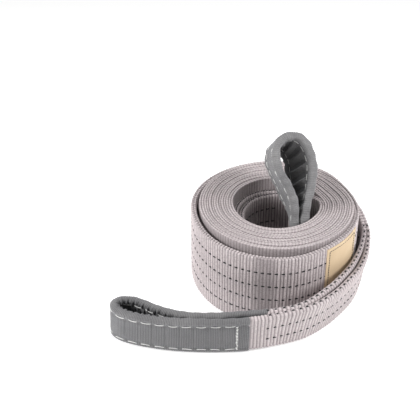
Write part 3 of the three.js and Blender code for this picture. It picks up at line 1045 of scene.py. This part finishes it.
def inner_relief(s, a, b, na, nb):
    """The inner eye's cloth: smooth outside, with slanting pleats between its borders inside."""
    share = (b + FOLD_WIDTH / 2) / FOLD_WIDTH
    ribs = 0.5 * SLEEVE_RIB_DEPTH * np.cos(2 * np.pi * s / SLEEVE_RIB)[:, None]
    beat = (s / INNER_STITCH_PITCH)[:, None]
    dip = np.cos(2 * np.pi * beat)
    face = np.abs(na)
    rows = sum(np.exp(-((share - row) / 0.035) ** 2) for row in INNER_ROWS)
    dent = -1.3 * rows * face
    puff = 0.8 * (np.exp(-((share - 0.1) / 0.05) ** 2) + np.exp(-((share - 0.9) / 0.05) ** 2))
    puff = puff * (1 - 0.6 * dip) * face
    lip = -0.8 * dip * np.abs(nb)
    between = smoothstep(share, 0.2, 0.3) * smoothstep(-share, -0.8, -0.7)
    slant = s[:, None] / 20.0 - 1.1 * share
    fold = np.sin(2 * np.pi * slant + 0.7 * np.sin(2 * np.pi * slant))
    pleat = PLEAT_DEPTH * fold * between * smoothstep(-na, 0.2, 0.9)
    wander = 0.35 * np.sin(2 * np.pi * (s[:, None] / 31 + share)) * face
    return ribs + dent + puff + lip + pleat + wander, pleat


s = np.arange(INNER_FROM, INNER_TO, SLEEVE_RIB / STEPS_PER_RIB)
heights = (0.0, 0.06, 0.11, 0.15, 0.2, 0.26, 0.35, 0.45, 0.55, 0.65, 0.74, 0.8, 0.85, 0.89,
           0.94, 1.0)
a, b, na, nb = inner_sleeve_band.outline(s, heights, CORNER)
lift, pleat = inner_relief(s, a, b, na, nb)
outer = inner_sleeve_band.place(s[:, None], a + na * lift, b + nb * lift)
ai, bi, _, _ = inner_sleeve_band.outline(s, heights, CORNER, shrink=SLEEVE_WALL - 0.15)
inner = inner_sleeve_band.place(s[:, None], ai, bi)
# Painted shade: darker in the grooves between the fine ribs, less so on the inner face, and darkest
# in the pleats' folds.
shade = np.clip(-0.3 * np.cos(2 * np.pi * s / SLEEVE_RIB), 0, 1)[:, None]
shade = shade * (1 - 0.5 * smoothstep(-na, 0.2, 0.9))
shade = shade + 0.75 * np.clip(-pleat / 2.0 - 0.2, 0, 1)
inner_sleeve = dress(tube("inner_sleeve", outer, inner, np.clip(shade, 0, 1), s), SLEEVE, "sleeve",
                     "inner_eye_sleeve")

bits = Bits()


def inner_spot(share, side):
    def spot(s):
        half = float(inner_sleeve_band.read("half", s))
        return side * (half - 0.9), (share - 0.5) * FOLD_WIDTH, side, 0.0
    return spot


for share in INNER_ROWS:
    for side in (1, -1):
        stitch_row(bits, inner_sleeve_band, INNER_FROM + 4, INNER_TO - 4,
                   inner_spot(share, side), 0.8, INNER_STITCH_PITCH, INNER_STITCH_LENGTH)
inner_thread = dress(bits.build("inner_sleeve_stitches"), THREAD, "sleeve")


# The label

LABEL_FROM, LABEL_TO = -58, -24
LABEL_BOTTOM, LABEL_TOP = 27, 116
LABEL_MARGIN = 5.5
LABEL_STITCH, LABEL_THREAD = 4.2, 0.42

label_start = nearest_along(web, polar(LABEL_TO, turn_outer(LABEL_TO) - PLY / 2))
label_end = nearest_along(web, polar(LABEL_FROM, turn_outer(LABEL_FROM) - PLY / 2))


def label_lift(s, b):
    """The cloth lies on the ribs and is drawn down a little along its sewn border."""
    edge = np.minimum(np.minimum(s - label_start, label_end - s)[:, None],
                      np.minimum(b - LABEL_BOTTOM, LABEL_TOP - b))
    seam = np.exp(-((edge - LABEL_MARGIN) / 1.3) ** 2)
    return 1.0 - 0.35 * seam + 0.12 * np.sin(b * 0.21 + s[:, None] * 0.13)


s = np.linspace(label_start, label_end, 60)
b = np.linspace(LABEL_BOTTOM, LABEL_TOP, 40)[None, :] * np.ones((60, 1))
half = web.read("half", s)[:, None]
front = half + label_lift(s, b)
ring_a = np.concatenate([front, (half + 0.1) * np.ones_like(b)], axis=1)
ring_b = np.concatenate([b, b[:, ::-1]], axis=1)
label = dress(loft("sewn_label", web.place(s[:, None], ring_a, ring_b), s), LABEL, "label",
              "label")

bits = Bits()
corners = [(label_end - LABEL_MARGIN, LABEL_BOTTOM + LABEL_MARGIN),
           (label_end - LABEL_MARGIN, LABEL_TOP - LABEL_MARGIN),
           (label_start + LABEL_MARGIN, LABEL_TOP - LABEL_MARGIN),
           (label_start + LABEL_MARGIN, LABEL_BOTTOM + LABEL_MARGIN)]
for (s1, b1), (s2, b2) in zip(corners, corners[1:] + corners[:1]):
    count = max(1, int(math.hypot(s2 - s1, b2 - b1) / LABEL_STITCH))
    for k in range(count):
        t = (k + np.linspace(0.06, 0.94, 6)) / count
        ss, bb = s1 + (s2 - s1) * t, b1 + (b2 - b1) * t
        rise = 1.05 - 0.7 * np.abs(np.linspace(-1, 1, 6)) ** 4
        bits.thread(web.place(ss, web.read("half", ss) + rise, bb), LABEL_THREAD, 5)
label_thread = dress(bits.build("label_stitches"), DARK_THREAD, "label")


# Floor, light and camera

def plain_material(name, colour, roughness):
    k = Nodes(name, roughness, 0.0, (1, 1, 1))
    soft = k.noise(3, 2)
    k.colour(k.mix(k.math("MULTIPLY", soft, 0.3), colour, tuple(c * 0.985 for c in colour)))
    return k.material


bpy.ops.mesh.primitive_plane_add(size=40, location=(0, 0, 0))
floor = bpy.context.object
floor.name = "floor"
paper = plain_material("floor_paper", (0.93, 0.93, 0.93), 0.9)
paper_shader = paper.node_tree.nodes["Principled BSDF"]
paper_shader.inputs["Emission Color"].default_value = (1, 1, 1, 1)
paper_shader.inputs["Emission Strength"].default_value = 0.3
floor.data.materials.append(paper)

world = bpy.data.worlds.new("studio")
world.use_nodes = True
background = world.node_tree.nodes["Background"]
background.inputs["Color"].default_value = (1, 1, 1, 1)
background.inputs["Strength"].default_value = 0.22
bpy.context.scene.world = world


def area_light(name, place, target, size, power):
    light = bpy.data.lights.new(name, "AREA")
    light.shape = "DISK"
    light.size, light.energy = size, power
    obj = bpy.data.objects.new(name, light)
    bpy.context.scene.collection.objects.link(obj)
    obj.location = place
    direction = mathutils.Vector(target) - mathutils.Vector(place)
    obj.rotation_euler = direction.to_track_quat("-Z", "Y").to_euler()


CENTRE = (-0.02, 0.0, 0.06)
area_light("key", (-1.6, -0.6, 0.95), CENTRE, 0.8, 36)
area_light("side", (1.6, -0.45, 0.95), CENTRE, 0.8, 27)
area_light("top", (0.3, -0.2, 1.7), CENTRE, 0.7, 11)

# The photograph's view
VIEW_TARGET = (AXIS[0] - 0.0975, AXIS[1] + 0.0719, 0.060)
VIEW_ELEVATION = math.radians(35.13)
VIEW_DISTANCE = 1.5
FOCAL_PIXELS, FRAME_PIXELS, SENSOR = 955.2, 420, 36

camera_data = bpy.data.cameras.new("camera")
camera_data.sensor_width = SENSOR
camera_data.lens = SENSOR * FOCAL_PIXELS / FRAME_PIXELS
camera_data.clip_start, camera_data.clip_end = 0.01, 100
camera = bpy.data.objects.new("camera", camera_data)
bpy.context.scene.collection.objects.link(camera)
camera.location = (
    VIEW_TARGET[0],
    VIEW_TARGET[1] - VIEW_DISTANCE * math.cos(VIEW_ELEVATION),
    VIEW_TARGET[2] + VIEW_DISTANCE * math.sin(VIEW_ELEVATION),
)
camera.rotation_euler = (math.pi / 2 - VIEW_ELEVATION, 0, 0)
bpy.context.scene.camera = camera
bpy.context.scene.view_settings.view_transform = "Standard"
